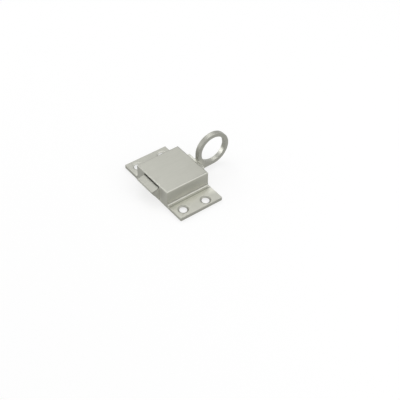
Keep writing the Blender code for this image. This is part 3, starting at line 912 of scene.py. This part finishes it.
class CATCH_OT_back_plate(bpy.types.Operator):
    """Build the sheet back with the tab that the spring pushes against"""

    bl_idname = "catch.back_plate"
    bl_label = "Back plate"

    def execute(self, context):
        s = context.scene.catch_inner
        plate_corner, tab_corner, near, slack = 1.0 * MM, 0.6 * MM, 0.1 * MM, 0.2 * MM
        outline = rounded_rectangle(PLATE_HIGH.x, PLATE_HIGH.y, plate_corner)
        plate = blank("sheet", prism(outline, 0, s.sheet, "Z"))
        root = s.tab_front + s.sheet + s.bend
        half = s.tab / 2 + slack
        window = rectangle((-half, s.tab_front - (PLATE_HIGH.z - s.sheet)), (half, root))
        combine(plate, "DIFFERENCE", blank("window", prism(window, -PAST, PAST, "Z")))
        tab = prism(tab_outline(s), -s.tab / 2, s.tab / 2, "X")
        peak = [e for e in tab.edges if all(v.co.z > PLATE_HIGH.z - near for v in e.verts)]
        ends = [e for e in peak if abs(e.verts[0].co.x - e.verts[1].co.x) < near]
        bmesh.ops.bevel(tab, geom=ends, offset=tab_corner, segments=5, profile=0.5, affect="EDGES")
        combine(plate, "UNION", blank("tab", tab))

        rim, neck, deep, through = s.head + slack, s.shank + PLAY, 0.7 * MM, s.sheet + PAST
        wide = rim + (rim - neck) / deep * PAST
        sink = [(0, -PAST), (wide, -PAST), (neck, deep), (neck, through), (0, through)]
        for x, y in plate_screw_places(s):
            combine(plate, "DIFFERENCE", blank("screw_seat", turned(sink, 40), (x, y, 0)))
        soften(plate, 0.06 * MM, 2)
        plate.name = "sheet_back"
        metal = plated_sheet(context.scene.catch_finish)
        hand_over(plate, metal, "case_body", "sheet_steel", "back_plate")
        return {"FINISHED"}


# Plate screws


def screw_pattern(s):
    """One screw, head down at the origin: slotted countersunk head and a cut thread."""
    tip, head_height, brim = SCREW_HIGH.z, 0.7 * MM, 0.08 * MM
    thread_start, thread_end = head_height + 0.35 * MM, tip - 0.25 * MM
    ridge, steps = 0.16 * MM, 56
    slot_half, slot_depth = 0.2 * MM, 0.35 * MM

    def thread(height, turn):
        """Extra radius of the thread at a height and a fraction of a turn."""
        if height < thread_start or height > thread_end:
            return 0
        phase = ((height - thread_start) / s.pitch - turn) % 1
        return ridge * (1 - abs(2 * phase - 1))

    straight = tip - 0.2 * MM - head_height
    shank = [(s.shank, head_height + straight * i / steps) for i in range(steps + 1)]
    profile = [(0, 0), (s.head, 0), (s.head, brim), *shank, (s.shank * 0.6, tip), (0, tip)]
    screw = blank("screw_pattern", turned(profile, 28, thread))
    slot = rectangle((-slot_half, -PAST), (slot_half, slot_depth))
    combine(screw, "DIFFERENCE", blank("slot", prism(slot, -s.head - PAST, s.head + PAST, "Y")))
    return screw


def screws_tree(metal, pattern, s):
    """The pattern screw set at the four corners of a grid, each turned by its own angle."""
    sizes = {
        "Spacing X": ("NodeSocketFloat", 2 * (SCREW_HIGH.x - s.head)),
        "Spacing Y": ("NodeSocketFloat", 2 * (SCREW_HIGH.y - s.head)),
        "Screw": ("NodeSocketObject", pattern),
        "Seed": ("NodeSocketInt", s.seed),
    }
    tree, values = geometry_tree("plate_screws", sizes)
    make = Nodes(tree)
    given = make.add("NodeGroupInput").outputs
    links = {
        "Size X": given["Spacing X"],
        "Size Y": given["Spacing Y"],
        "Vertices X": 2,
        "Vertices Y": 2,
    }
    corners = make.add("GeometryNodeMeshGrid", links).outputs["Mesh"]
    screw = make.add("GeometryNodeObjectInfo", {"Object": given["Screw"]}).outputs["Geometry"]
    links = {"Min": (0, 0, 0), "Max": (0, 0, pi), "Seed": given["Seed"]}
    turns = make.add("FunctionNodeRandomValue", links, data_type="FLOAT_VECTOR").outputs[0]
    links = {"Points": corners, "Instance": screw, "Rotation": turns}
    set_in = make.add("GeometryNodeInstanceOnPoints", links).outputs[0]
    make.finish_geometry(set_in, metal)
    return tree, values


class CATCH_OT_screws(bpy.types.Operator):
    """Set the four screws that hold the back plate"""

    bl_idname = "catch.screws"
    bl_label = "Plate screws"

    def execute(self, context):
        s = context.scene.catch_inner
        metal = screw_metal(context.scene.catch_finish)
        pattern = screw_pattern(s)
        screws = grow("plate_screws", *screws_tree(metal, pattern, s))
        bpy.data.objects.remove(pattern)
        screws.data.shade_smooth()
        screws.data.set_sharp_from_angle(angle=radians(30))
        names = [f"plate_screw_{number}" for number in range(1, 5)]
        hand_over(screws, metal, "case_body", "screw_steel", *names)
        return {"FINISHED"}


# Stage


def floor_plane(s):
    """A wide pale floor under the catch."""
    reach = 3.0
    bm = bmesh.new()
    bm.faces.new([bm.verts.new((x, y, 0)) for x, y in rectangle((-reach, -reach), (reach, reach))])
    floor = blank("floor", bm)
    floor.location.z = CASE_LOW.z - 0.02 * MM
    paint = bpy.data.materials.new("pale_floor")
    paint.use_nodes = True
    make = Nodes(paint.node_tree)
    shader = paint.node_tree.nodes["Principled BSDF"]
    shader.inputs["Base Color"].default_value = opaque(s.floor)
    shader.inputs["Roughness"].default_value = 0.9
    shader.inputs["Specular IOR Level"].default_value = 0.1
    white = opaque((1, 1, 1))
    glow = make.add("ShaderNodeEmission", {"Color": white, "Strength": 1.0}).outputs["Emission"]
    seen = make.add("ShaderNodeLightPath").outputs
    rays = ("Is Camera Ray", "Is Glossy Ray", "Is Transmission Ray")
    shown = make.strongest(*(seen[ray] for ray in rays))
    links = {0: make.times(shown, s.floor_glow), 1: shader.outputs["BSDF"], 2: glow}
    mixed = make.add("ShaderNodeMixShader", links).outputs["Shader"]
    make.tree.links.new(mixed, paint.node_tree.nodes["Material Output"].inputs["Surface"])
    floor.data.materials.append(paint)


def studio_sky(s):
    """A pale surround, dimmer towards the horizon and behind the camera, as if screened there."""
    world = bpy.data.worlds.new("studio")
    bpy.context.scene.world = world
    world.use_nodes = True
    make = Nodes(world.node_tree)
    back = world.node_tree.nodes["Background"]
    way = make.add("ShaderNodeTexCoord").outputs["Generated"]
    height = make.add("ShaderNodeSeparateXYZ", {"Vector": way}).outputs["Z"]
    sky = make.ramp(height, 0.0, 0.55, s.horizon, s.zenith)
    links = {0: way, 1: Vector(s.eye).normalized()}
    front = make.add("ShaderNodeVectorMath", links, operation="DOT_PRODUCT").outputs["Value"]
    shade = make.ramp(front, 0.78, 0.96, 0.0, s.screen)
    strength = make.times(sky, make.math("SUBTRACT", 1.0, shade))
    make.tree.links.new(strength, back.inputs["Strength"])
    back.inputs["Color"].default_value = opaque((1, 1, 1))


def softbox(name, direction, side, strength, s):
    """A square lamp that looks at the catch from a direction. Strength is its radiance."""
    lamp = bpy.data.lights.new(name, "AREA")
    lamp.shape = "SQUARE"
    lamp.size = side
    lamp.energy = strength * pi * side**2
    holder = bpy.data.objects.new(name, lamp)
    bpy.context.scene.collection.objects.link(holder)
    way = Vector(direction).normalized()
    holder.location = way * s.box_range
    holder.rotation_euler = way.to_track_quat("Z", "Y").to_euler()


class CATCH_OT_stage(bpy.types.Operator):
    """Set the floor, the light and the camera"""

    bl_idname = "catch.stage"
    bl_label = "Stage"

    def execute(self, context):
        s = context.scene.catch_stage
        floor_plane(s)
        studio_sky(s)
        softbox("softbox_right", (0.709, 0.41, 0.574), s.box_size, s.side_box, s)
        softbox("softbox_left", (-0.61, -0.75, 0.26), s.back_size, s.left_box, s)
        softbox("softbox_back", (-0.50, 0.19, 0.845), s.back_size, s.back_box, s)
        camera = bpy.data.cameras.new("camera")
        camera.sensor_width = 36
        camera.lens = s.lens
        camera.clip_start = 0.01
        holder = bpy.data.objects.new("camera", camera)
        context.scene.collection.objects.link(holder)
        holder.location = s.eye
        holder.rotation_euler = s.turn
        context.scene.camera = holder
        context.scene.view_settings.view_transform = "Standard"
        return {"FINISHED"}


# Panel and running


class CATCH_PT_panel(bpy.types.Panel):
    """Lists the settings and the steps that build the catch"""

    bl_idname = "CATCH_PT_panel"
    bl_label = "Transom catch"
    bl_space_type = "VIEW_3D"
    bl_region_type = "UI"
    bl_category = "Catch"

    def draw(self, context):
        for operator, group in STEPS:
            box = self.layout.box()
            box.operator(operator.bl_idname)
            settings = getattr(context.scene, group)
            for name in settings.__annotations__:
                box.prop(settings, name)


GROUPS = {
    "catch_case": CaseSizes,
    "catch_bolt": BoltSizes,
    "catch_inner": InnerSizes,
    "catch_finish": FinishSettings,
    "catch_stage": StageSettings,
}
STEPS = (
    (CATCH_OT_case, "catch_case"),
    (CATCH_OT_bolt, "catch_bolt"),
    (CATCH_OT_spring, "catch_inner"),
    (CATCH_OT_back_plate, "catch_inner"),
    (CATCH_OT_screws, "catch_inner"),
    (CATCH_OT_stage, "catch_stage"),
)


def register():
    """Make the settings, the steps and the panel known to Blender."""
    for group in GROUPS.values():
        bpy.utils.register_class(group)
    for operator, _ in STEPS:
        bpy.utils.register_class(operator)
    bpy.utils.register_class(CATCH_PT_panel)
    for name, group in GROUPS.items():
        setattr(bpy.types.Scene, name, PointerProperty(type=group))


def unregister():
    """Take them out again, in reverse."""
    for name in GROUPS:
        delattr(bpy.types.Scene, name)
    bpy.utils.unregister_class(CATCH_PT_panel)
    for operator, _ in reversed(STEPS):
        bpy.utils.unregister_class(operator)
    for group in reversed(GROUPS.values()):
        bpy.utils.unregister_class(group)


def main():
    """Build everything."""
    register()
    for step in (
        bpy.ops.catch.case,
        bpy.ops.catch.bolt,
        bpy.ops.catch.spring,
        bpy.ops.catch.back_plate,
        bpy.ops.catch.screws,
        bpy.ops.catch.stage,
    ):
        step()


if __name__ == "__main__":
    main()
